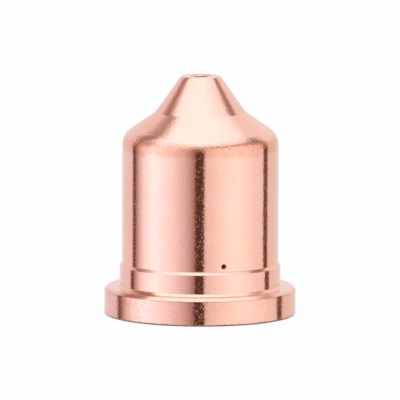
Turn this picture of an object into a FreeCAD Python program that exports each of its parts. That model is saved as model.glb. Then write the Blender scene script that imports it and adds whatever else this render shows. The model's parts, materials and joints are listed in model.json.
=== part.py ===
import FreeCAD, Part
import math
import os

# A plasma torch nozzle, turned from one bar of copper. The nozzle stands on its flange with the origin at the
# centre of the seat face and +Z along the axis, towards the tip. -Y is the side that shows the vent.

# Driving dimensions, in millimetres and degrees

# Outside, across the axis
body_diameter = 18.0
collar_step = 0.25
flange_overhang = 1.75
cone_foot_diameter = 10.36
tip_diameter = 4.46

# Outside, along the axis
flange_thickness = 3.2
collar_length = 2.45
collar_bevel_length = 0.35
body_length = 14.72
shoulder_cone_angle = 55.2
nose_length = 4.17

# Outside edges
seat_edge_radius = 0.2
flange_chamfer = 0.33
root_chamfer = 0.27
chamfer_edge_radius = 0.05
collar_edge_radius = 0.06
collar_root_radius = 0.4
shoulder_radius = 2.25
cone_foot_radius = 0.1
tip_edge_radius = 0.3

# Orifice
orifice_diameter = 1.6
orifice_length = 4.0
countersink_width = 0.4
countersink_angle = 63.0

# Inside, open at the seat face
register_wall = 1.75
register_depth = 4.5
register_chamfer = 0.3
register_root_radius = 0.2
chamber_ledge = 1.5
chamber_edge_radius = 0.2
plenum_angle = 45.0
plenum_corner_radius = 1.0

# Vent, drilled through the wall just above the collar
vent_diameter = 0.6
vent_rise = 0.59
vent_direction = -72.4

# Sizes that follow from them
body_radius = body_diameter / 2
collar_radius = body_radius + collar_step
flange_radius = collar_radius + flange_overhang
register_radius = collar_radius - register_wall
chamber_radius = register_radius - chamber_ledge
cone_foot_across = cone_foot_diameter / 2
tip_radius = tip_diameter / 2
orifice_radius = orifice_diameter / 2
countersink_radius = orifice_radius + countersink_width

collar_edge_height = flange_thickness + collar_length
collar_top_height = collar_edge_height + collar_bevel_length
shoulder_height = collar_top_height + body_length
cone_rise = (body_radius - cone_foot_across) / math.tan(math.radians(shoulder_cone_angle))
cone_foot_height = shoulder_height + cone_rise
tip_height = cone_foot_height + nose_length
orifice_top_height = tip_height - countersink_width / math.tan(math.radians(countersink_angle))
orifice_foot_height = orifice_top_height - orifice_length
plenum_rise = (chamber_radius - orifice_radius) / math.tan(math.radians(plenum_angle))
chamber_top_height = orifice_foot_height - plenum_rise
vent_height = collar_top_height + vent_rise

SHARP = 0.0


def outside_corners():
    """Lists the outer corners from the seat face up to the tip: radius, height and edge radius."""
    return [
        (flange_radius, 0.0, seat_edge_radius),
        (flange_radius, flange_thickness - flange_chamfer, chamfer_edge_radius),
        (flange_radius - flange_chamfer, flange_thickness, chamfer_edge_radius),
        (collar_radius + root_chamfer, flange_thickness, chamfer_edge_radius),
        (collar_radius, flange_thickness + root_chamfer, chamfer_edge_radius),
        (collar_radius, collar_edge_height, collar_edge_radius),
        (body_radius, collar_top_height, collar_root_radius),
        (body_radius, shoulder_height, shoulder_radius),
        (cone_foot_across, cone_foot_height, cone_foot_radius),
        (tip_radius, tip_height, tip_edge_radius),
    ]


def inside_corners():
    """Lists the inner corners from the tip down to the seat face: radius, height and edge radius."""
    return [
        (countersink_radius, tip_height, SHARP),
        (orifice_radius, orifice_top_height, SHARP),
        (orifice_radius, orifice_foot_height, SHARP),
        (chamber_radius, chamber_top_height, plenum_corner_radius),
        (chamber_radius, register_depth, chamber_edge_radius),
        (register_radius, register_depth, register_root_radius),
        (register_radius, register_chamfer, SHARP),
        (register_radius + register_chamfer, 0.0, SHARP),
    ]


def corner_arc(before, corner, after, radius):
    """Gives the start, middle and end of the arc that touches both sides of a corner."""
    to_before = (before - corner).normalize()
    to_after = (after - corner).normalize()
    half_angle = to_before.getAngle(to_after) / 2
    setback = radius / math.tan(half_angle)
    middle_distance = radius / math.sin(half_angle) - radius
    to_middle = (to_before + to_after).normalize()
    return (
        corner + to_before * setback,
        corner + to_middle * middle_distance,
        corner + to_after * setback,
    )


def rounded_outline(corners):
    """Joins the corners, in the plane of X and Z, into one closed wire of straight runs and tangent arcs."""
    points = [FreeCAD.Vector(radius, 0, height) for radius, height, _ in corners]
    starts = []
    ends = []
    arcs = []
    for index, (_, _, edge_radius) in enumerate(corners):
        corner = points[index]
        if edge_radius == SHARP:
            starts.append(corner)
            ends.append(corner)
            continue
        after = points[(index + 1) % len(points)]
        start, middle, end = corner_arc(points[index - 1], corner, after, edge_radius)
        starts.append(start)
        ends.append(end)
        arcs.append(Part.Arc(start, middle, end).toShape())
    runs = [Part.makeLine(ends[index - 1], starts[index]) for index in range(len(points))]
    return Part.Wire(Part.__sortEdges__(runs + arcs))


def turned_blank():
    """Turns the whole section, outside and inside, once round the axis."""
    section = Part.Face(rounded_outline(outside_corners() + inside_corners()))
    return section.revolve(FreeCAD.Vector(0, 0, 0), FreeCAD.Vector(0, 0, 1), 360)


def vent_drill():
    """Makes the drill for the vent: it starts on the axis and leaves through one side of the wall."""
    angle = math.radians(vent_direction)
    outward = FreeCAD.Vector(math.cos(angle), math.sin(angle), 0)
    return Part.makeCylinder(vent_diameter / 2, flange_radius, FreeCAD.Vector(0, 0, vent_height), outward)


def make_nozzle():
    """Drills the vent through the turned blank."""
    return turned_blank().cut(vent_drill()).Solids[0]


os.makedirs("parts", exist_ok=True)
nozzle = make_nozzle()
nozzle.exportStep("parts/nozzle.step")

print("flange diameter", 2 * flange_radius, "mm, height", round(tip_height, 3), "mm")
print("register bore", 2 * register_radius, "mm, chamber bore", 2 * chamber_radius, "mm")
print("chamber top at", round(chamber_top_height, 3), "mm, orifice from", round(orifice_foot_height, 3), "mm")
print("volume", round(nozzle.Volume, 2), "mm3, closed:", nozzle.isClosed(), "valid:", nozzle.isValid())
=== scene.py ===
import json
import math

import bpy
import numpy as np
from bpy.props import FloatProperty, FloatVectorProperty, IntProperty, PointerProperty
from mathutils import Matrix, Vector


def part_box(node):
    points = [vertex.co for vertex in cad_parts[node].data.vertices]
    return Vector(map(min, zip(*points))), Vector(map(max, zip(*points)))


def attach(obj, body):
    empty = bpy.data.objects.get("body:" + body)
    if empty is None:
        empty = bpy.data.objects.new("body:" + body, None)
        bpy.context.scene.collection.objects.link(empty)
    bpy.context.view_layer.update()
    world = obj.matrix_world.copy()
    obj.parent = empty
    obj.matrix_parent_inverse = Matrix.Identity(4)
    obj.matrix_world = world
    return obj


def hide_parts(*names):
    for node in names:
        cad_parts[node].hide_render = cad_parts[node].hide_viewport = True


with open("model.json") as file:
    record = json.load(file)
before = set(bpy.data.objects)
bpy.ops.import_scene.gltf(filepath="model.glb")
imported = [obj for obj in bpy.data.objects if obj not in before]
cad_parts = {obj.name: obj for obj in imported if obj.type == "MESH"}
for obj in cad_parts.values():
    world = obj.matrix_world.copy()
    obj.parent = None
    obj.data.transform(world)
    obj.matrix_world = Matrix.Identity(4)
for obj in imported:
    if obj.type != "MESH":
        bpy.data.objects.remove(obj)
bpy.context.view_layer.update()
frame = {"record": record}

bl_info = {
    "name": "Copper Plasma Torch Nozzle",
    "version": (1, 0, 0),
    "blender": (4, 5, 0),
    "location": "3D View > Sidebar > Nozzle",
    "description": "A turned copper torch nozzle with its side vent, on a pale floor in a light tent",
    "category": "Object",
}

NODE = "nozzle"
MOUNTS = {mount["name"]: mount for mount in frame["record"]["mounts"]}
MILLIMETRE = 0.001
WHITE = (1.0, 1.0, 1.0, 1.0)
GROUND = (0.8, 0.8, 0.8, 1.0)

# An edge that turns by more than this stays sharp
SHARP_EDGE = math.radians(20)
# Lengths that differ by less than this, in metres, count as equal
SAME_LENGTH = 1e-7
# The camera's film in millimetres, and in metres from where to where it sees
FILM_WIDTH = 36.0
CLIP_START = 0.1
CLIP_END = 10.0


def mount_radius(name):
    """Gives the radius of a round mount of the frame, in metres."""
    return MOUNTS[name]["dims"]["r_mm"] * MILLIMETRE


def length(name, description, default):
    """Makes a length property, in metres."""
    return FloatProperty(name=name, description=description, default=default, min=0.0, precision=5,
                         unit="LENGTH")


def angle(name, description, degrees):
    """Makes an angle property from a default in degrees."""
    return FloatProperty(name=name, description=description, default=math.radians(degrees), subtype="ANGLE")


def factor(name, description, default, highest=1.0):
    """Makes a plain number from 0 to its highest value."""
    return FloatProperty(name=name, description=description, default=default, min=0.0, max=highest)


def whole_number(name, description, default, lowest=1):
    """Makes a whole number from its lowest value up."""
    return IntProperty(name=name, description=description, default=default, min=lowest)


def colour(name, description, default):
    """Makes a colour property with values of linear light."""
    return FloatVectorProperty(name=name, description=description, default=default, size=3, min=0.0, max=2.0,
                               subtype="COLOR")


class NozzleSizes(bpy.types.PropertyGroup):
    """Sizes of the turned section; the main ones come from the frame."""

    flange_radius: length("Flange radius", "Outside of the flange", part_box(NODE)[1].x)
    flange_thickness: length("Flange thickness", "Seat to upper face", MOUNTS["clamp_face"]["pos_m"][2])
    flange_chamfer: length("Flange chamfer", "Width and height at the flange's upper edge", 0.00033)
    root_chamfer: length("Root chamfer", "Width and height between the flange and the collar", 0.00027)
    collar_radius: length("Collar radius", "Outside of the collar", mount_radius("collar"))
    collar_height: length("Collar height", "Flange face to the bevel", 0.00245)
    bevel_height: length("Bevel height", "Height of the collar's bevel", 0.00035)
    body_radius: length("Body radius", "Outside of the body", mount_radius("body"))
    body_height: length("Body height", "Collar to the unrounded shoulder", 0.01472)
    shoulder_angle: angle("Shoulder angle", "Shallow cone, from the axis", 55.2)
    cone_foot_radius: length("Cone foot radius", "Where the nose cone starts", 0.00518)
    tip_radius: length("Tip radius", "Flat of the tip, unrounded", 0.00223)
    height: length("Height", "Seat to tip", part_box(NODE)[1].z)
    orifice_radius: length("Orifice radius", "Bore of the orifice", mount_radius("orifice"))
    orifice_length: length("Orifice length", "Straight part of the orifice", 0.004)
    countersink_width: length("Countersink width", "How far the orifice's mouth widens", 0.0004)
    countersink_angle: angle("Countersink angle", "Wall of the mouth, from the axis", 63.0)
    chamber_radius: length("Chamber radius", "Bore of the chamber", mount_radius("chamber_bore"))
    register_radius: length("Register radius", "Bore at the seat", mount_radius("register_bore"))
    register_depth: length("Register depth", "Seat to the ledge inside", 0.0045)
    register_chamfer: length("Register chamfer", "Width and depth of the bore's mouth", 0.0003)


class EdgeSizes(bpy.types.PropertyGroup):
    """Radii of the rounded edges and roots."""

    seat: length("Seat edge", "Lower edge of the flange", 0.0002)
    chamfer: length("Chamfer edge", "Both sides of the two chamfers", 0.00005)
    collar: length("Collar edge", "Upper edge of the collar", 0.00006)
    collar_root: length("Collar root", "Between the bevel and the body", 0.0004)
    shoulder: length("Shoulder", "Between the body and the shallow cone", 0.00225)
    cone_foot: length("Cone foot", "Between the two cones", 0.0001)
    tip: length("Tip edge", "Outer edge of the tip", 0.0003)
    plenum: length("Plenum corner", "Between the plenum cone and the chamber", 0.001)
    chamber: length("Chamber edge", "Lower edge of the chamber", 0.0002)
    register: length("Register root", "Inner corner of the register bore", 0.0002)


class VentSizes(bpy.types.PropertyGroup):
    """Size and place of the vent drilled through the wall."""

    radius: length("Vent radius", "Radius of the drilled hole", 0.0003)
    rim: length("Vent rim", "Radius of the worn rim", 0.00003)
    rise: length("Vent rise", "Top of the bevel to the middle of the vent", 0.00059)
    direction: angle("Vent direction", "Round the axis, from +X", -72.4)
    half_window: length("Half window", "Half the height of the mesh window round the vent", 0.00045)


class MeshDensity(bpy.types.PropertyGroup):
    """How finely the surfaces are divided."""

    columns: whole_number("Columns", "Columns round the axis", 360, 24)
    window_cells: whole_number("Window cells", "Half the window's width, in cells", 4, 2)
    arc_step: angle("Arc step", "Largest turn between two points of an arc", 5.0)
    arc_steps: whole_number("Arc steps", "Fewest steps in an arc", 3)
    run_step: length("Run step", "Largest step along a straight run", 0.0007)
    rim_steps: whole_number("Rim steps", "Steps round the vent's rims", 3)
    drill_rings: whole_number("Drill rings", "Rings along the vent's wall", 12)


class CopperFinish(bpy.types.PropertyGroup):
    """Colour, gloss and surface detail of the copper."""

    bare: colour("Bare copper", "Colour of the clean metal", (0.965, 0.585, 0.487))
    tarnish: colour("Tarnish", "Colour where the metal has aged a little", (0.955, 0.562, 0.449))
    heat_tint: colour("Heat tint", "Colour of the handled band round the shoulder", (0.93, 0.46, 0.335))
    # Dark specks and sandy patches use this colour, and so does the painted shade at the flange's lower edge,
    # in the orifice, round its mouth and in the nicks, and the dark line under the upper chamfer
    stain_and_shade: colour("Stain", "Colour of dark specks, sandy patches, nicks and lines", (0.34, 0.11, 0.06))
    dusty: colour("Dusty copper", "Colour of the fine dull specks", (0.94, 0.3, 0.23))
    # Darker, redder colour inside the vent: painted shade of the drilled hole
    lining: colour("Lining", "Colour inside the vent", (1.0, 0.27, 0.08))
    band_least: factor("Band least", "Least strength of the mottled band round the shoulder", 0.5)
    dust: factor("Dust", "How much the fine dull specks tint the metal", 0.16)
    dust_rise: factor("Dust rise", "Added share of fine dull specks on the flange's side", 0.5)
    specks: factor("Specks", "How dark the small dark specks are", 0.06)
    band_specks: factor("Band specks", "How much darker they get on the shoulder's band", 0.25)
    rim_dust: factor("Rim dust", "How dark the sandy patches on the flange's side are", 0.1)
    left_rim_darkening: factor("Left rim dust", "How much darker they get towards the left", 0.13)
    roughness: factor("Roughness", "Lowest roughness", 0.04)
    roughness_spread: factor("Roughness spread", "How much it rises where the metal is dull", 0.04)
    nose_roughness: factor("Nose roughness", "Added on the two cones", 0.02)
    lining_roughness: factor("Lining roughness", "Added inside the vent", 0.5)
    rim_roughness: factor("Rim roughness", "Added on both sides of the flange", 0.05)
    lining_matt: factor("Lining matt", "How much less metallic the inside of the vent looks", 0.6)
    grain_size: length("Grain size", "Width of the polishing grain", 0.0002)
    grain_depth: length("Grain depth", "Depth of the polishing grain", 0.0000055)
    nose_grain: factor("Nose grain", "How much deeper the grain is on the two cones", 1.0, 5.0)
    bend_grain: factor("Bend grain", "How much deeper the grain is on the shoulder's bend", 2.5, 5.0)
    groove_pitch: length("Groove pitch", "Spacing of the turning marks", 0.00016)
    groove_depth: length("Groove depth", "Depth of the turning marks", 0.0000012)
    pit_depth: length("Pit depth", "Depth of the small pits", 0.000007)


class StudioSettings(bpy.types.PropertyGroup):
    """Camera, light tent and floor."""

    distance: length("Camera distance", "Camera to the middle of the part", 1.25)
    elevation: angle("Camera elevation", "Above the horizon", 7.6)
    roll: angle("Camera roll", "Turn of the picture", 0.2)
    aim_height: length("Aim height", "Height that the camera looks at", 0.01315)
    aim_side: FloatProperty(name="Aim side", description="Sideways aim", default=-0.000035, precision=6,
                            unit="LENGTH")
    picture_width: length("Picture width", "Width that the picture shows at the part", 0.046)
    floor_size: length("Floor size", "Half the floor's width", 0.6)
    floor_gap: length("Floor gap", "How far under the seat the floor lies", 0.00001)
    floor_colour: colour("Floor colour", "Matt colour of the floor", (1.0, 0.88, 0.88))
    contact_radius: length("Contact radius", "How far out the metal mirrors the floor", 0.0116)
    inner_contact: length("Inner contact", "From where the metal mirrors the floor", 0.0108)
    bore_light: factor("Bore light", "Light of the floor under the bore", 0.4)
    shadow_share: factor("Shadow share", "How much of the shadow the floor shows", 0.1)
    roof: factor("Roof", "Light of the roof where it meets the walls", 1.22, 2.0)
    roof_rise: factor("Roof rise", "How much brighter the roof is overhead", 0.3)
    roof_drop: factor("Roof drop", "How much dimmer the roof is on the right", 0.11)
    palest_strip: factor("Palest strip", "Light of the dark strips high up", 0.29)
    shadow_rise: factor("Shadow rise", "How fast a shadow gets brighter from its middle", 0.3)
    rear_gain: factor("Rear gain", "Added share of light behind the part on the right", 0.12)
    rear_red_drop: factor("Rear red drop", "Share of red that the light behind the part lacks", 0.05)
    left_blue: factor("Left blue", "Blue share of the light from the left", 1.07, 2.0)
    right_blue: factor("Right blue", "Blue share of the light from the right", 0.98, 2.0)
    roof_blue: factor("Roof blue", "Blue share of the light from the roof", 1.02, 2.0)
    red_power: factor("Red power", "Under 1, so that dim cloth looks redder", 0.72, 2.0)
    red_limit: factor("Red limit", "Most red light", 1.08, 2.0)
    blue_power: factor("Blue power", "Over 1, so that dim cloth looks less blue", 1.12, 2.0)


def outside_corners(sizes, edges):
    """Lists radius, height and edge radius of each outer corner, from the seat up to the tip."""
    face = sizes.flange_thickness
    collar_edge = face + sizes.collar_height
    collar_top = collar_edge + sizes.bevel_height
    shoulder = collar_top + sizes.body_height
    rise = (sizes.body_radius - sizes.cone_foot_radius) / math.tan(sizes.shoulder_angle)
    return [
        (sizes.flange_radius, 0.0, edges.seat),
        (sizes.flange_radius, face - sizes.flange_chamfer, edges.chamfer),
        (sizes.flange_radius - sizes.flange_chamfer, face, edges.chamfer),
        (sizes.collar_radius + sizes.root_chamfer, face, edges.chamfer),
        (sizes.collar_radius, face + sizes.root_chamfer, edges.chamfer),
        (sizes.collar_radius, collar_edge, edges.collar),
        (sizes.body_radius, collar_top, edges.collar_root),
        (sizes.body_radius, shoulder, edges.shoulder),
        (sizes.cone_foot_radius, shoulder + rise, edges.cone_foot),
        (sizes.tip_radius, sizes.height, edges.tip),
    ]


def inside_corners(sizes, edges):
    """Lists radius, height and edge radius of each inner corner, from the tip down to the seat."""
    orifice_top = sizes.height - sizes.countersink_width / math.tan(sizes.countersink_angle)
    orifice_foot = orifice_top - sizes.orifice_length
    chamber_top = orifice_foot - (sizes.chamber_radius - sizes.orifice_radius)
    return [
        (sizes.orifice_radius + sizes.countersink_width, sizes.height, 0.0),
        (sizes.orifice_radius, orifice_top, 0.0),
        (sizes.orifice_radius, orifice_foot, 0.0),
        (sizes.chamber_radius, chamber_top, edges.plenum),
        (sizes.chamber_radius, sizes.register_depth, edges.chamber),
        (sizes.register_radius, sizes.register_depth, edges.register),
        (sizes.register_radius, sizes.register_chamfer, 0.0),
        (sizes.register_radius + sizes.register_chamfer, 0.0, 0.0),
    ]


def rounded_corner(before, corner, after, radius, density):
    """Gives points on the arc that touches both sides of a corner.

    The arc's centre lies on the corner's bisector. Each point is the centre plus the radius turned from one
    touching point towards the other by equal angles.
    """
    if radius == 0.0:
        return corner[None, :]
    to_before = (before - corner) / np.linalg.norm(before - corner)
    to_after = (after - corner) / np.linalg.norm(after - corner)
    half_angle = math.acos(np.clip(to_before @ to_after, -1.0, 1.0)) / 2
    bisector = (to_before + to_after) / np.linalg.norm(to_before + to_after)
    centre = corner + bisector * radius / math.sin(half_angle)
    turn = math.pi - 2 * half_angle
    count = max(density.arc_steps, math.ceil(turn / density.arc_step))
    swing = np.linspace(-turn / 2, turn / 2, count + 1)[:, None]
    across = (to_after - to_before) / np.linalg.norm(to_after - to_before)
    return centre + radius * (np.sin(swing) * across - np.cos(swing) * bisector)


def divided_run(start, end, step, stops):
    """Gives the inner points of a straight run, with no step longer than asked.

    stops are heights that the run must hold a point at; the stretches between them are divided evenly.
    """
    inner = [(stop - start[1]) / (end[1] - start[1]) for stop in stops]
    marks = np.unique(np.concatenate([[0.0, 1.0], inner]))
    counts = np.maximum(1, np.ceil(np.diff(marks) * np.linalg.norm(end - start) / step)).astype(int)
    shares = [np.linspace(low, high, count + 1)[:-1] for low, high, count in zip(marks, marks[1:], counts)]
    share = np.concatenate(shares)[1:, None]
    return start + share * (end - start)


def turned_section(corners, density, stops):
    """Joins the corners into one closed section of points, as radius and height.

    stops are heights at which the runs that pass all of them hold a point.
    """
    places = np.array([corner[:2] for corner in corners])
    arcs = []
    for index, (_, _, radius) in enumerate(corners):
        after = places[(index + 1) % len(places)]
        arcs.append(rounded_corner(places[index - 1], places[index], after, radius, density))
    points = []
    for index, arc in enumerate(arcs):
        start = arc[-1]
        end = arcs[(index + 1) % len(arcs)][0]
        low, high = sorted((start[1], end[1]))
        held = [stop for stop in stops if low < stop < high] if low < stops[0] and stops[-1] < high else []
        points.append(arc)
        points.append(divided_run(start, end, density.run_step, held))
    return np.concatenate(points)


def turned_grid(section, angles):
    """Carries the section round the axis.

    The point of row i and column j has radius r(i) and height z(i) at angle a(j): x is r cos a, y is r sin a.
    """
    radius = section[:, 0, None]
    height = np.broadcast_to(section[:, 1, None], (len(section), len(angles)))
    return np.stack([radius * np.cos(angles), radius * np.sin(angles), height], axis=-1)


def grid_quads(rows, columns):
    """Lists the four corners of every cell of a grid that is closed both ways."""
    row = np.arange(rows)[:, None]
    column = np.arange(columns)[None, :]
    next_row = (row + 1) % rows
    next_column = (column + 1) % columns
    cell = [row * columns + column, row * columns + next_column, next_row * columns + next_column,
            next_row * columns + column]
    return np.stack(np.broadcast_arrays(*cell), axis=-1)


def window_path(half):
    """Walks once round a square window of cells, as steps to the side and up.

    It starts at the lower corner on the side of larger angles and goes up, back, down and forward.
    """
    walk = np.arange(-half, half)
    side = np.full(2 * half, half)
    across = np.concatenate([side, -walk, -side, walk])
    upward = np.concatenate([walk, side, -walk, -side])
    return across, upward


# How square the rings on a wall are, from the window, which is 1, in to the drilled circle
WALL_BLEND = (0.75, 0.5, 0.28, 0.12, 0.0)


def vent_rings(sizes, vent, density, height, count):
    """Works out the rings of points that line the vent, from the outer window to the inner one.

    On each wall a ring is a blend, in angle and height, between the square window and the drilled circle.
    Between the walls the rings follow the drill, with a quarter round at each rim. The depth of a point on
    the circle is the cylinder's depth there: the root of the wall's radius squared less its offset squared.
    """
    half_angle = density.window_cells * 2 * math.pi / density.columns
    turn = -math.pi / 4 + np.arange(count) * 2 * math.pi / count
    circle = np.stack([np.cos(turn), np.sin(turn)])
    square = circle / np.abs(circle).max(axis=0)
    rings = []

    def wall_ring(wall_radius, share):
        """Adds a ring on a wall, a share of the way from the drilled circle to the window."""
        rim_offset = (vent.radius + vent.rim) * circle
        rim_angle = np.arcsin(rim_offset[0] / wall_radius)
        ring_angle = rim_angle + share * (square[0] * half_angle - rim_angle)
        ring_height = rim_offset[1] + share * (square[1] * vent.half_window - rim_offset[1])
        outward = wall_radius * np.cos(ring_angle)
        sideways = wall_radius * np.sin(ring_angle)
        rings.append((outward, sideways, ring_height))

    def drill_ring(wall_radius, drill_radius, depth):
        """Adds a round ring that lies a depth further out than the wall."""
        offset = drill_radius * circle
        outward = np.sqrt(wall_radius ** 2 - offset[0] ** 2) + depth
        rings.append((outward, offset[0], offset[1]))

    quarter = np.linspace(0.0, math.pi / 2, density.rim_steps + 1)[1:]
    for share in WALL_BLEND:
        wall_ring(sizes.body_radius, share)
    for swing in quarter:
        drill_ring(sizes.body_radius, vent.radius + vent.rim * (1 - math.sin(swing)),
                   -vent.rim * (1 - math.cos(swing)))
    start = np.sqrt(sizes.body_radius ** 2 - (vent.radius * circle[0]) ** 2) - vent.rim
    end = np.sqrt(sizes.chamber_radius ** 2 - (vent.radius * circle[0]) ** 2) + vent.rim
    for share in np.linspace(0.0, 1.0, density.drill_rings + 2)[1:-1]:
        rings.append((start + share * (end - start), *(vent.radius * circle)))
    for swing in quarter[::-1]:
        drill_ring(sizes.chamber_radius, vent.radius + vent.rim * (1 - math.sin(swing)),
                   vent.rim * (1 - math.cos(swing)))
    for share in WALL_BLEND[::-1]:
        wall_ring(sizes.chamber_radius, share)
    outward, sideways, upward = np.array(rings).transpose(1, 0, 2)
    along = (math.cos(vent.direction), math.sin(vent.direction))
    x = outward * along[0] - sideways * along[1]
    y = outward * along[1] + sideways * along[0]
    return np.stack([x, y, upward + height], axis=-1)


NICKS = (
    # degrees round the axis, then in millimetres: radius, height, half length, half width and depth
    (-130.0, 2.15, 27.42, 0.22, 0.09, 0.10),
    (-86.3, 10.95, 2.88, 0.14, 0.05, 0.04),
    (-86.6, 11.0, 0.08, 0.14, 0.05, 0.025),
)

# The squared distance from a nick's middle where its painted shade ends, and where it is full
NICK_SHADE_FADE = (1.6, 0.3)


def nicked(points):
    """Presses small nicks into the edges, each longer along the edge than across it.

    Near a nick a point moves towards the axis by the depth times a bell curve: e to the minus square of its
    distance, where the distance along the edge counts in half lengths and across it in half widths.
    """
    for degrees, *sizes in NICKS:
        radius, height, half_length, half_width, depth = np.array(sizes) * MILLIMETRE
        turn = math.radians(degrees)
        outward = np.array([math.cos(turn), math.sin(turn), 0.0])
        around = np.array([-math.sin(turn), math.cos(turn), 0.0])
        offset = points - radius * outward - np.array([0.0, 0.0, height])
        along = offset @ around
        across = (offset ** 2).sum(axis=-1) - along ** 2
        bell = np.exp(-(along / half_length) ** 2 - across / half_width ** 2)
        points = points - depth * bell[:, None] * outward
    return points


def mesh_object(name, points, quads):
    """Puts points and four-cornered faces into a new object at the origin."""
    mesh = bpy.data.meshes.new(name)
    mesh.from_pydata(points.reshape(-1, 3), [], quads.reshape(-1, 4).tolist())
    mesh.validate()
    mesh.shade_smooth()
    mesh.set_sharp_from_angle(angle=SHARP_EDGE)
    piece = bpy.data.objects.new(name, mesh)
    bpy.context.scene.collection.objects.link(piece)
    return piece


def nozzle_surface(scene):
    """Works out the whole skin of the nozzle: the turned grid with two windows, and the vent's lining."""
    sizes = scene.nozzle_sizes
    vent = scene.nozzle_vent
    density = scene.nozzle_density
    half = density.window_cells
    corners = outside_corners(sizes, scene.nozzle_edges) + inside_corners(sizes, scene.nozzle_edges)
    collar_top = sizes.flange_thickness + sizes.collar_height + sizes.bevel_height
    vent_height = collar_top + vent.rise
    stops = vent_height + vent.half_window * np.linspace(-1, 1, 2 * half + 1)
    section = turned_section(corners, density, stops)
    rows = len(section)
    columns = density.columns
    angles = vent.direction + np.arange(columns) * 2 * math.pi / columns
    grid = turned_grid(section, angles)
    quads = grid_quads(rows, columns)

    def window_rows(wall_radius):
        """Finds the rows of one wall that lie at the stops."""
        on_wall = np.abs(section[:, 0] - wall_radius) < SAME_LENGTH
        found = [np.flatnonzero(on_wall & (np.abs(section[:, 1] - stop) < SAME_LENGTH))[0] for stop in stops]
        return np.array(found)

    outer = window_rows(sizes.body_radius)
    inner = window_rows(sizes.chamber_radius)
    keep = np.ones((rows, columns), bool)
    across, upward = window_path(half)
    edge_columns = across % columns
    for wall in (outer, inner):
        first, last = sorted((wall[0], wall[-1]))
        keep[first:last, :half] = False
        keep[first:last, -half:] = False
    count = len(across)
    lining = vent_rings(sizes, vent, density, vent_height, count)
    lining_index = rows * columns + np.arange(lining.shape[0] * count).reshape(-1, count)
    outer_ring = outer[upward + half] * columns + edge_columns
    inner_ring = inner[upward + half] * columns + edge_columns
    rings = np.vstack([outer_ring, lining_index, inner_ring])
    following = np.roll(rings, -1, axis=1)
    sleeve = np.stack([rings[:-1], following[:-1], following[1:], rings[1:]], axis=-1)
    points = np.concatenate([grid.reshape(-1, 3), lining.reshape(-1, 3)])
    faces = np.concatenate([quads[keep], sleeve.reshape(-1, 4)])
    return nicked(points), faces


def add_node(tree, kind, **settings):
    """Adds a shader node; a setting named like a socket becomes its value or link, any other a property."""
    node = tree.nodes.new(kind)
    for name, value in settings.items():
        label = name.replace("_", " ")
        socket = node.inputs.get(label) or node.inputs.get(label.title())
        if hasattr(node, name):
            setattr(node, name, value)
        elif isinstance(value, bpy.types.NodeSocket):
            tree.links.new(value, socket)
        else:
            socket.default_value = value
    return node


def compute(tree, operation, *values):
    """Adds a math node on sockets or numbers and gives its result."""
    node = tree.nodes.new("ShaderNodeMath")
    node.operation = operation
    for socket, value in zip(node.inputs, values):
        if isinstance(value, bpy.types.NodeSocket):
            tree.links.new(value, socket)
        else:
            socket.default_value = value
    return node.outputs[0]


def times(tree, first, second):
    """Multiplies two sockets, or a socket and a number."""
    return compute(tree, "MULTIPLY", first, second)


def scaled(tree, value, scale, added):
    """Multiplies a value by a scale and adds to it."""
    return compute(tree, "MULTIPLY_ADD", value, scale, added)


def ease(tree, value, start, end):
    """Rises smoothly from 0 where the value is at start to 1 where it is at end."""
    node = add_node(tree, "ShaderNodeMapRange", interpolation_type="SMOOTHSTEP")
    tree.links.new(value, node.inputs["Value"])
    node.inputs["From Min"].default_value = min(start, end)
    node.inputs["From Max"].default_value = max(start, end)
    node.inputs["To Min"].default_value = 0.0 if start < end else 1.0
    node.inputs["To Max"].default_value = 1.0 if start < end else 0.0
    return node.outputs["Result"]


def mix_colours(tree, share, first, second):
    """Mixes two colours, each a socket or four numbers."""
    node = tree.nodes.new("ShaderNodeMix")
    node.data_type = "RGBA"
    for index, value in ((0, share), (6, first), (7, second)):
        if isinstance(value, bpy.types.NodeSocket):
            tree.links.new(value, node.inputs[index])
        else:
            node.inputs[index].default_value = value
    return node.outputs[2]


def opaque(value):
    """Gives a colour property as four numbers."""
    return (*value, 1.0)


def noise(tree, point, size, detail, roughness=0.5):
    """Adds a noise of a given feature size, in metres, and gives its height from 0 to 1."""
    node = add_node(tree, "ShaderNodeTexNoise", Vector=point, Scale=1 / size, Detail=detail,
                    Roughness=roughness)
    return node.outputs[0]


def bump(tree, height, depth, below=None):
    """Adds a bump of a given depth, in metres, on top of another one."""
    node = add_node(tree, "ShaderNodeBump", Distance=depth, Strength=1.0, Height=height)
    if below is not None:
        tree.links.new(below, node.inputs["Normal"])
    return node.outputs[0]


def squared_reach(tree, point, centre, turn, reach):
    """Gives the squared distance from a centre, counted in reaches along three axes turned about Z."""
    local = add_node(tree, "ShaderNodeMapping", vector_type="TEXTURE", Vector=point, Location=centre,
                     Rotation=(0.0, 0.0, turn), Scale=reach).outputs[0]
    dot = add_node(tree, "ShaderNodeVectorMath", operation="DOT_PRODUCT")
    tree.links.new(local, dot.inputs[0])
    tree.links.new(local, dot.inputs[1])
    return dot.outputs["Value"]


def nick_shades(tree, point):
    """Gives the painted shade in the nicks: 1 in the middle of each nick, falling to 0 round it; inwards it
    reaches twice as far as up.
    """
    marks = 0.0
    for degrees, *numbers in NICKS:
        radius, height, half_length, half_width, _ = [number * MILLIMETRE for number in numbers]
        turn = math.radians(degrees)
        centre = (radius * math.cos(turn), radius * math.sin(turn), height)
        far = squared_reach(tree, point, centre, turn, (2 * half_width, half_length, half_width))
        marks = compute(tree, "MAXIMUM", marks, ease(tree, far, *NICK_SHADE_FADE))
    return marks


def zone(tree, value, low, high, soft):
    """Gives 1 where the value is from low to high and falls smoothly to 0 beyond, over the soft distance."""
    return times(tree, ease(tree, value, low - soft, low), ease(tree, value, high + soft, high))


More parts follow.
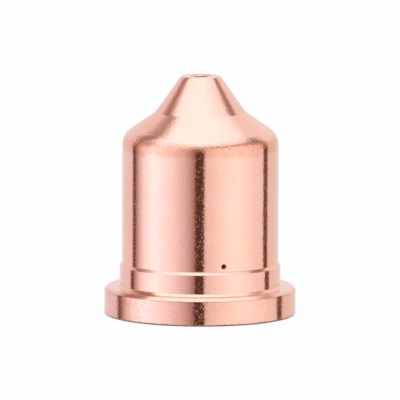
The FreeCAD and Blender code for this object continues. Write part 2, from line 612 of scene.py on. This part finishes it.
ZONES = {
    # millimetres from a place on the part: where a zone starts and ends, and how softly
    "warm band": (-1.3, -0.4, 0.5),
    "bend": (-0.7, 0.4, 0.3),
    # a dark line just under the flange's upper chamfer
    "upper line": (-0.1, -0.02, 0.04),
    # painted shade in the top of the orifice and the inner part of its countersunk mouth
    "inner ring": (0.0, 0.13, 0.08),
    # a dark ring of painted shade at the rim of the mouth
    "outer ring": (-0.03, 0.03, 0.04),
    # where the painted shade inside the vent lies
    "lining depth": (0.2, -0.06, 0.03),
    "lining height": (0.0, 0.0, 0.1),
}

RISES = {
    # millimetres from a place on the part: where a mask leaves 0, and where it reaches 1
    # painted shade along the flange's lower edge, where it stands on the floor
    "seat line": (0.28, 0.1),
    "mouth": (-0.6, -0.4),
    "under the face": (0.0, -0.3),
    "near the edge": (-0.3, -0.1),
    "left side": (-4.0, -11.0),
    "both sides": (6.5, 8.5),
    "nose": (-0.2, 0.6),
}

STRAYS = {
    # feature size in millimetres, detail, roughness, and how many millimetres an edge strays in all
    # uneven edge of the painted shade along the flange's lower edge
    "seat line": (0.25, 2.0, 0.5, 0.24),
    "warm band": (2.5, 3.0, 0.6, 1.6),
}

PATTERNS = {
    # feature size in millimetres, detail, roughness, and the noise's height where it starts and is full
    "tarnish": (4.0, 4.0, 0.6, 0.35, 0.7),
    "mottled band": (1.3, 5.0, 0.65, 0.3, 0.6),
    "dust": (0.2, 2.0, 0.6, 0.3, 0.7),
    "sand": (0.6, 4.0, 0.8, 0.4, 0.65),
    "specks": (0.2, 2.0, 0.6, 0.6, 0.72),
    "dull clouds": (1.1, 3.0, 0.5, 0.3, 0.75),
    "pits": (0.14, 1.0, 0.5, 0.66, 0.78),
}

# How dark each place is painted, from 0 to 1: painted shade at the flange's lower edge, in the orifice, round
# its mouth and in the nicks, and a dark line under the upper chamfer
DARK_MARKS = {"seat line": 0.85, "upper line": 0.3, "inner ring": 0.85, "outer ring": 0.5, "nicks": 0.8}


def near(tree, value, name, start, end=None):
    """Gives 1 in a zone of the table, which lies round one place or between two."""
    low, high, soft = [number * MILLIMETRE for number in ZONES[name]]
    return zone(tree, value, start + low, (start if end is None else end) + high, soft)


def rising(tree, value, name, start=0.0):
    """Gives a mask of the table, which rises from 0 to 1 near a place."""
    first, last = [number * MILLIMETRE for number in RISES[name]]
    return ease(tree, value, start + first, start + last)


def straying(tree, place, name):
    """Gives the height plus a noise, so that a mask worked out from it has an uneven edge."""
    size, detail, roughness, stray = STRAYS[name]
    lift = compute(tree, "SUBTRACT", noise(tree, place["point"], size * MILLIMETRE, detail, roughness), 0.5)
    return scaled(tree, lift, stray * MILLIMETRE, place["height"])


def pattern(tree, place, name):
    """Gives a pattern of the table, from 0 where it is absent to 1 where it is full."""
    size, detail, roughness, start, full = PATTERNS[name]
    return ease(tree, noise(tree, place["point"], size * MILLIMETRE, detail, roughness), start, full)


def place_on_part(tree):
    """Gives the point on the part, how far right and how high it lies, and its distance from the axis."""
    point = add_node(tree, "ShaderNodeTexCoord").outputs["Object"]
    split = add_node(tree, "ShaderNodeSeparateXYZ", Vector=point)
    squares = [compute(tree, "POWER", split.outputs[axis], 2.0) for axis in "XY"]
    from_axis = compute(tree, "SQRT", compute(tree, "ADD", *squares))
    return {"point": point, "right": split.outputs["X"], "height": split.outputs["Z"], "from axis": from_axis}


def copper_masks(tree, place, sizes, vent):
    """Works out where the copper's finish differs, or where shade is painted on it: one mask from 0 to 1 for
    each such place.
    """
    height = place["height"]
    from_axis = place["from axis"]
    face = sizes.flange_thickness
    collar_top = face + sizes.collar_height + sizes.bevel_height
    shoulder = collar_top + sizes.body_height
    mouth = sizes.orifice_radius + sizes.countersink_width
    rim = times(tree, rising(tree, height, "under the face", face),
                rising(tree, from_axis, "near the edge", sizes.flange_radius))
    both_sides = rising(tree, compute(tree, "ABSOLUTE", place["right"]), "both sides")
    at_mouth = rising(tree, height, "mouth", sizes.height)
    return {
        "band": near(tree, straying(tree, place, "warm band"), "warm band", shoulder),
        "bend": near(tree, height, "bend", shoulder),
        "nose": rising(tree, height, "nose", shoulder),
        # painted shade along the flange's lower edge, where it stands on the floor
        "seat line": rising(tree, straying(tree, place, "seat line"), "seat line"),
        # a dark line just under the flange's upper chamfer
        "upper line": near(tree, height, "upper line", face - sizes.flange_chamfer),
        # painted shade in the orifice, and a dark ring of painted shade at its mouth's rim
        "inner ring": times(tree, at_mouth, near(tree, from_axis, "inner ring", 0.0, sizes.orifice_radius)),
        "outer ring": times(tree, at_mouth, near(tree, from_axis, "outer ring", mouth)),
        # painted shade in the nicks
        "nicks": nick_shades(tree, place["point"]),
        "rim": rim,
        "left rim": times(tree, rim, rising(tree, place["right"], "left side")),
        "rim ends": times(tree, rim, both_sides),
        # the vent's lining, where painted shade darkens the hole
        "lining": times(tree, near(tree, from_axis, "lining depth", sizes.chamber_radius, sizes.body_radius),
                        near(tree, height, "lining height", collar_top, collar_top + 2 * vent.rise)),
    }


def copper_hue(tree, finish, place, masks):
    """Works out the metal's colour: faint tarnish, the shoulder's warm band, dust, specks and a dark line
    under the chamfer, and painted shade at the seat's edge, in the orifice, round its mouth, in the nicks and
    in the vent.
    """
    hue = mix_colours(tree, pattern(tree, place, "tarnish"), opaque(finish.bare), opaque(finish.tarnish))
    mottled = pattern(tree, place, "mottled band")
    mottled = scaled(tree, mottled, 1.0 - finish.band_least, finish.band_least)
    hue = mix_colours(tree, times(tree, masks["band"], mottled), hue, opaque(finish.heat_tint))
    dust_share = scaled(tree, masks["rim"], finish.dust * finish.dust_rise, finish.dust)
    dust = times(tree, pattern(tree, place, "dust"), dust_share)
    hue = mix_colours(tree, dust, hue, opaque(finish.dusty))
    sand_share = times(tree, masks["rim"], finish.rim_dust)
    # the sandy patches get darker towards the left end of the flange's side
    sand_share = scaled(tree, masks["left rim"], finish.left_rim_darkening, sand_share)
    sand = times(tree, pattern(tree, place, "sand"), sand_share)
    speck_share = scaled(tree, masks["band"], finish.band_specks, finish.specks)
    specks = times(tree, pattern(tree, place, "specks"), speck_share)
    stained_and_shaded = compute(tree, "MAXIMUM", specks, sand)
    # adds the painted shade at the seat's edge, in the orifice, round its mouth and in the nicks, and the
    # dark line under the upper chamfer
    for name, strength in DARK_MARKS.items():
        stained_and_shaded = compute(tree, "MAXIMUM", stained_and_shaded, times(tree, masks[name], strength))
    hue = mix_colours(tree, stained_and_shaded, hue, opaque(finish.stain_and_shade))
    # painted shade inside the vent
    return mix_colours(tree, masks["lining"], hue, opaque(finish.lining))


def copper_roughness(tree, finish, place, masks):
    """Works out the roughness: dull clouds, and more on the cones, inside the vent and beside the flange."""
    rough = scaled(tree, pattern(tree, place, "dull clouds"), finish.roughness_spread, finish.roughness)
    for name, added in (("nose", finish.nose_roughness), ("lining", finish.lining_roughness),
                        ("rim ends", finish.rim_roughness)):
        rough = scaled(tree, masks[name], added, rough)
    return rough


def copper_relief(tree, finish, place, masks):
    """Stacks three bumps: turning marks that follow the section, polishing grain and small pits."""
    along_section = compute(tree, "SUBTRACT", place["height"], place["from axis"])
    grooves = add_node(tree, "ShaderNodeTexNoise", noise_dimensions="1D", W=along_section,
                       Scale=1 / finish.groove_pitch, Detail=2.0)
    deeper = scaled(tree, masks["nose"], finish.nose_grain, 1.0)
    deeper = scaled(tree, masks["bend"], finish.bend_grain, deeper)
    grain = times(tree, noise(tree, place["point"], finish.grain_size, 1.0), deeper)
    surface = bump(tree, grooves.outputs[0], finish.groove_depth)
    surface = bump(tree, grain, finish.grain_depth, surface)
    return bump(tree, pattern(tree, place, "pits"), -finish.pit_depth, surface)


def copper_material(finish, sizes, vent):
    """Makes satin turned copper, with its wear where the nozzle is handled, and painted shade at its seat, in
    its holes and in its nicks.
    """
    material = bpy.data.materials.new("turned_copper")
    material.use_nodes = True
    tree = material.node_tree
    shader = tree.nodes["Principled BSDF"]
    place = place_on_part(tree)
    masks = copper_masks(tree, place, sizes, vent)
    metal = scaled(tree, masks["lining"], -finish.lining_matt, 1.0)
    tree.links.new(copper_hue(tree, finish, place, masks), shader.inputs["Base Color"])
    tree.links.new(copper_roughness(tree, finish, place, masks), shader.inputs["Roughness"])
    tree.links.new(copper_relief(tree, finish, place, masks), shader.inputs["Normal"])
    tree.links.new(metal, shader.inputs["Metallic"])
    return material


TENT_WALLS = (
    # azimuth in degrees from the camera, positive to the right, and how bright the wall of the tent is there
    (-180.0, 0.86), (-120.0, 0.84), (-117.8, 0.09), (-111.4, 0.09), (-109.6, 0.28),
    (-104.7, 0.51), (-100.0, 0.77), (-91.0, 1.14), (-75.0, 1.48), (-65.0, 1.47),
    (-58.0, 1.31), (-38.6, 1.02), (-32.4, 0.88), (-23.4, 0.71), (-14.4, 0.47),
    (-8.5, 0.27), (-6.8, 0.05), (5.2, 0.05), (6.6, 0.80), (12.0, 0.90),
    (24.0, 1.03), (36.0, 1.16), (45.0, 1.23), (58.0, 1.25), (72.0, 1.15),
    (88.0, 0.99), (105.8, 0.93), (107.4, 0.085), (116.9, 0.085), (118.5, 0.82),
    (180.0, 0.86),
)

TENT_SHADOWS = (
    # azimuth, elevation, slope, half length and half height in degrees, and how bright the middle is
    (-126.0, 44.0, -33.0, 29.0, 14.0, 0.26),
    (-100.0, 28.0, 0.0, 14.0, 14.0, 0.45),
    (28.0, 34.5, 0.0, 30.0, 4.2, 0.36),
    (72.0, 36.0, 0.0, 28.0, 4.8, 0.42),
    (102.0, 34.0, 0.0, 18.0, 11.0, 0.27),
    (123.0, 44.0, 0.0, 14.0, 8.0, 0.48),
    (145.0, 45.0, 0.0, 20.0, 1.6, 0.8),
)

TENT_RANGES = {
    # from and to, in degrees of azimuth or elevation
    "dark strips pale": (-12.0, 22.0),
    "behind on the right": (118.0, 130.0),
    "over the horizon": (4.0, 20.0),
    "roof brightens": (38.0, 62.0),
    "roof's colour": (15.0, 45.0),
    "low": (18.0, 4.0),
    "behind": (120.0, 165.0),
    "ground": (-60.0, -80.0),
}

# Ranges of the direction's share towards the right, over which the roof dims and the blue changes
ROOF_DIMS = (0.05, 0.6)
BLUE_CHANGES = (-0.15, 0.15)

# The roof's lower edge, and half the height over which it blends into the walls, in degrees
ROOF_EDGE = 29.0
ROOF_BLEND = 16.0
ROOF_STEPS = (
    # in degrees: from and to azimuth, and by how much the edge rises and the blend widens between them
    (-30.0, 30.0, 13.0, 0.0),
    (0.0, 30.0, 0.0, -9.0),
    (-60.0, -88.0, 16.0, -10.0),
    (-85.0, -120.0, 13.0, 0.0),
    (92.0, 112.0, 8.0, 0.0),
)


def tent_ease(tree, value, name):
    """Rises smoothly from 0 to 1 over a range of the tent's angles; the value is in radians."""
    start, end = TENT_RANGES[name]
    return ease(tree, value, math.radians(start), math.radians(end))


def tent_walls(tree, azimuth, elevation, studio):
    """Works out how bright the tent's walls are by direction.

    A ramp holds the brightness by azimuth. Its darkest strips grow paler with elevation. Each shadow limits
    the brightness to its middle's value plus a share of the squared distance, counted in half lengths.
    Behind the part on the right the walls are a little brighter.
    """
    turn = scaled(tree, azimuth, 1 / (2 * math.pi), 0.5)
    ramp = add_node(tree, "ShaderNodeValToRGB", Fac=turn)
    stops = ramp.color_ramp.elements
    while len(stops) < len(TENT_WALLS):
        stops.new(1.0)
    for stop, (degrees, light) in zip(stops, TENT_WALLS):
        stop.position = degrees / 360 + 0.5
        stop.color = (light, light, light, 1.0)
    paler = times(tree, tent_ease(tree, elevation, "dark strips pale"), studio.palest_strip)
    walls = compute(tree, "MAXIMUM", ramp.outputs[0], paler)
    point = add_node(tree, "ShaderNodeCombineXYZ", X=azimuth, Y=elevation).outputs[0]
    for *numbers, middle in TENT_SHADOWS:
        across, up, slope, half_length, half_height = [math.radians(number) for number in numbers]
        far = squared_reach(tree, point, (across, up, 0.0), slope, (half_length, half_height, 1.0))
        limit = scaled(tree, far, studio.shadow_rise, middle)
        walls = compute(tree, "MINIMUM", walls, limit)
    behind = times(tree, tent_ease(tree, azimuth, "behind on the right"),
                   tent_ease(tree, elevation, "over the horizon"))
    return times(tree, walls, scaled(tree, behind, studio.rear_gain, 1.0))


def roof_share(tree, azimuth, elevation):
    """Works out where the roof takes over from the walls: low and gradual in front, higher at the corners."""
    edge = ROOF_EDGE
    blend = ROOF_BLEND
    for start, end, rise, wider in ROOF_STEPS:
        passed = ease(tree, azimuth, math.radians(start), math.radians(end))
        edge = scaled(tree, passed, rise, edge)
        blend = scaled(tree, passed, wider, blend)
    above = compute(tree, "SUBTRACT", compute(tree, "DEGREES", elevation), edge)
    return ease(tree, compute(tree, "DIVIDE", above, blend), -1.0, 1.0)


def tent_brightness(tree, azimuth, elevation, rightward, studio):
    """Works out how bright the tent is by direction: walls below, and a roof that is dimmer on the right."""
    overhead = tent_ease(tree, elevation, "roof brightens")
    roof = scaled(tree, overhead, studio.roof_rise, studio.roof)
    to_right = ease(tree, rightward, *ROOF_DIMS)
    roof = times(tree, roof, scaled(tree, to_right, -studio.roof_drop, 1.0))
    walls = tent_walls(tree, azimuth, elevation, studio)
    share = roof_share(tree, azimuth, elevation)
    return scaled(tree, share, compute(tree, "SUBTRACT", roof, walls), walls)


def tent_light(tree, studio):
    """Gives the tent's light by direction; where the cloth is dim, it is redder and less blue."""
    direction = add_node(tree, "ShaderNodeTexCoord").outputs["Generated"]
    split = add_node(tree, "ShaderNodeSeparateXYZ", Vector=direction)
    rightward = split.outputs["X"]
    azimuth = compute(tree, "ARCTAN2", rightward, times(tree, split.outputs["Y"], -1.0))
    elevation = compute(tree, "ARCSINE", split.outputs["Z"])
    light = tent_brightness(tree, azimuth, elevation, rightward, studio)
    to_right = ease(tree, rightward, *BLUE_CHANGES)
    low_blue = scaled(tree, to_right, studio.right_blue - studio.left_blue, studio.left_blue)
    above_low = compute(tree, "SUBTRACT", studio.roof_blue, low_blue)
    blue_share = scaled(tree, tent_ease(tree, elevation, "roof's colour"), above_low, low_blue)
    red = compute(tree, "MINIMUM", compute(tree, "POWER", light, studio.red_power), studio.red_limit)
    rear = tent_ease(tree, compute(tree, "ABSOLUTE", azimuth), "behind")
    rear = times(tree, rear, tent_ease(tree, elevation, "low"))
    red = times(tree, red, scaled(tree, rear, -studio.rear_red_drop, 1.0))
    blue = times(tree, compute(tree, "POWER", light, studio.blue_power), blue_share)
    tinted = add_node(tree, "ShaderNodeCombineColor", Red=red, Green=light, Blue=blue).outputs[0]
    return mix_colours(tree, tent_ease(tree, elevation, "ground"), tinted, GROUND)


def tent_world(studio):
    """Lights the scene from the tent, and shows the camera plain white behind the part."""
    world = bpy.data.worlds.new("light_tent")
    world.use_nodes = True
    tree = world.node_tree
    background = tree.nodes["Background"]
    rays = add_node(tree, "ShaderNodeLightPath")
    plain = compute(tree, "MAXIMUM", rays.outputs["Is Camera Ray"], rays.outputs["Is Transmission Ray"])
    tree.links.new(mix_colours(tree, plain, tent_light(tree, studio), WHITE), background.inputs["Color"])
    background.inputs["Strength"].default_value = 1.0
    bpy.context.scene.world = world


def floor_material(studio, sizes):
    """Makes a white floor that shows the part's soft shadow.

    The metal mirrors the floor only in a narrow ring round the seat's edge. Under the bore the floor gives
    the metal a dim light, and from below it can be looked through.
    """
    material = bpy.data.materials.new("pale_floor")
    material.use_nodes = True
    tree = material.node_tree
    tree.nodes.remove(tree.nodes["Principled BSDF"])
    rays = add_node(tree, "ShaderNodeLightPath")
    matt = add_node(tree, "ShaderNodeBsdfDiffuse", Color=opaque(studio.floor_colour)).outputs[0]
    glow = add_node(tree, "ShaderNodeEmission", Color=WHITE, Strength=1.0).outputs[0]
    clear = add_node(tree, "ShaderNodeBsdfTransparent").outputs[0]
    dim = add_node(tree, "ShaderNodeEmission", Color=WHITE, Strength=studio.bore_light).outputs[0]
    point = add_node(tree, "ShaderNodeTexCoord").outputs["Object"]
    from_axis = add_node(tree, "ShaderNodeVectorMath", operation="LENGTH", Vector=point).outputs["Value"]
    bore = sizes.register_radius + sizes.register_chamfer
    under_bore = compute(tree, "LESS_THAN", from_axis, bore)
    glow_share = times(tree, rays.outputs["Is Camera Ray"], 1.0 - studio.shadow_share)
    glow_share = times(tree, glow_share, compute(tree, "SUBTRACT", 1.0, under_bore))
    within = compute(tree, "LESS_THAN", from_axis, studio.inner_contact)
    under_seat = compute(tree, "SUBTRACT", within, under_bore)
    beyond = compute(tree, "GREATER_THAN", from_axis, studio.contact_radius)
    mirrored = rays.outputs["Is Glossy Ray"]
    unseen = times(tree, compute(tree, "ADD", beyond, under_seat), mirrored)
    dim_share = times(tree, under_bore, mirrored)
    under = add_node(tree, "ShaderNodeNewGeometry").outputs["Backfacing"]
    see_through = compute(tree, "MAXIMUM", unseen, under)
    surface = matt
    for share, other in ((glow_share, glow), (dim_share, dim), (see_through, clear)):
        mixed = tree.nodes.new("ShaderNodeMixShader")
        tree.links.new(share, mixed.inputs[0])
        tree.links.new(surface, mixed.inputs[1])
        tree.links.new(other, mixed.inputs[2])
        surface = mixed.outputs[0]
    tree.links.new(surface, tree.nodes["Material Output"].inputs["Surface"])
    return material


def lay_floor(studio, sizes):
    """Lays one flat square just under the seat."""
    half = studio.floor_size
    low = -studio.floor_gap
    corners = [(-half, -half, low), (half, -half, low), (half, half, low), (-half, half, low)]
    floor = mesh_object("floor", np.array(corners), np.array([[0, 1, 2, 3]]))
    floor.data.materials.append(floor_material(studio, sizes))


def place_camera(studio):
    """Puts a long lens in front of the part, a little above it."""
    camera = bpy.data.objects.new("camera", bpy.data.cameras.new("camera"))
    bpy.context.scene.collection.objects.link(camera)
    camera.data.sensor_width = FILM_WIDTH
    camera.data.lens = camera.data.sensor_width * studio.distance / studio.picture_width
    back = Vector((0.0, -math.cos(studio.elevation), math.sin(studio.elevation)))
    aim = Vector((studio.aim_side, 0.0, studio.aim_height))
    turned = (-back).to_track_quat("-Z", "Y").to_matrix() @ Matrix.Rotation(studio.roll, 3, "Z")
    camera.matrix_world = Matrix.Translation(aim + back * studio.distance) @ turned.to_4x4()
    camera.data.clip_start = CLIP_START
    camera.data.clip_end = CLIP_END
    bpy.context.scene.camera = camera


class OBJECT_OT_make_torch_nozzle(bpy.types.Operator):
    """Turn the nozzle's section round its axis, drill the vent and finish it in copper"""

    bl_idname = "object.make_torch_nozzle"
    bl_label = "Make Nozzle"

    def execute(self, context):
        scene = context.scene
        nozzle = mesh_object("turned_nozzle", *nozzle_surface(scene))
        copper = copper_material(scene.nozzle_finish, scene.nozzle_sizes, scene.nozzle_vent)
        nozzle.data.materials.append(copper)
        weighted = nozzle.modifiers.new("weighted_normals", "WEIGHTED_NORMAL")
        weighted.keep_sharp = True
        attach(nozzle, "root")
        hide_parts(NODE)
        return {"FINISHED"}


class OBJECT_OT_make_nozzle_stage(bpy.types.Operator):
    """Set up the light tent, the pale floor and the camera"""

    bl_idname = "object.make_nozzle_stage"
    bl_label = "Make Stage"

    def execute(self, context):
        studio = context.scene.nozzle_studio
        tent_world(studio)
        lay_floor(studio, context.scene.nozzle_sizes)
        place_camera(studio)
        context.scene.view_settings.view_transform = "Standard"
        return {"FINISHED"}


class VIEW3D_PT_torch_nozzle(bpy.types.Panel):
    """Lists the nozzle's operators and settings"""

    bl_label = "Torch Nozzle"
    bl_idname = "VIEW3D_PT_torch_nozzle"
    bl_space_type = "VIEW_3D"
    bl_region_type = "UI"
    bl_category = "Nozzle"

    def draw(self, context):
        for operator in OPERATORS:
            self.layout.operator(operator.bl_idname)
        for name in SETTINGS:
            group = getattr(context.scene, name)
            column = self.layout.column(heading=group.bl_rna.name)
            for key in group.__annotations__:
                column.prop(group, key)


SETTINGS = {
    "nozzle_sizes": NozzleSizes,
    "nozzle_edges": EdgeSizes,
    "nozzle_vent": VentSizes,
    "nozzle_density": MeshDensity,
    "nozzle_finish": CopperFinish,
    "nozzle_studio": StudioSettings,
}
OPERATORS = (OBJECT_OT_make_torch_nozzle, OBJECT_OT_make_nozzle_stage)
CLASSES = (*SETTINGS.values(), *OPERATORS, VIEW3D_PT_torch_nozzle)


def register():
    """Registers the classes and hangs the settings on the scene."""
    for kind in CLASSES:
        bpy.utils.register_class(kind)
    for name, group in SETTINGS.items():
        setattr(bpy.types.Scene, name, PointerProperty(type=group))


def unregister():
    """Takes the settings and the classes away again."""
    for name in SETTINGS:
        delattr(bpy.types.Scene, name)
    for kind in reversed(CLASSES):
        bpy.utils.unregister_class(kind)


def main():
    """Makes the nozzle and its stage."""
    register()
    bpy.ops.object.make_torch_nozzle()
    bpy.ops.object.make_nozzle_stage()


if __name__ == "__main__":
    main()
